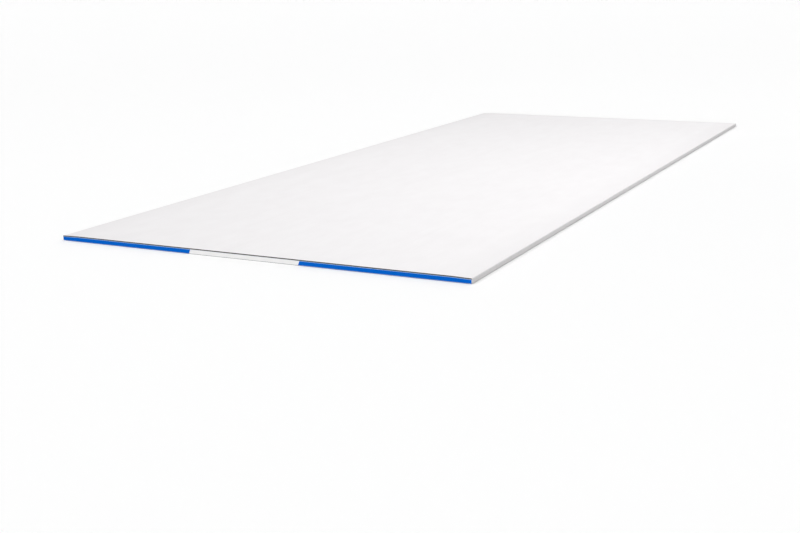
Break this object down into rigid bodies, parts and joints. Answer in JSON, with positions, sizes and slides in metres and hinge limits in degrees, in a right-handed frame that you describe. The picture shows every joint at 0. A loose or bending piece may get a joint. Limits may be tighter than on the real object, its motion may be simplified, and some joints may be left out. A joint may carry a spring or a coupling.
{
  "type": "drywall sheet",
  "caption": "Full sheet of tapered-edge drywall lying face up: white paper face, paper-wrapped long edges and blue and white paper tape over the square-cut ends.",
  "frame": {"origin": "centre of the back of the sheet, on the surface that the sheet lies on", "axes": "+X across the width, +Y along the length towards the rear end, +Z out of the face"},
  "size_m": [1.2, 3.0004, 0.015],
  "materials": {
    "face_paper": "matte",
    "end_tape": "satin"
  },
  "bodies": {
    "root": {"board": "face_paper", "end_tape_front": "end_tape", "end_tape_rear": "end_tape"}
  },
  "joints": []
}
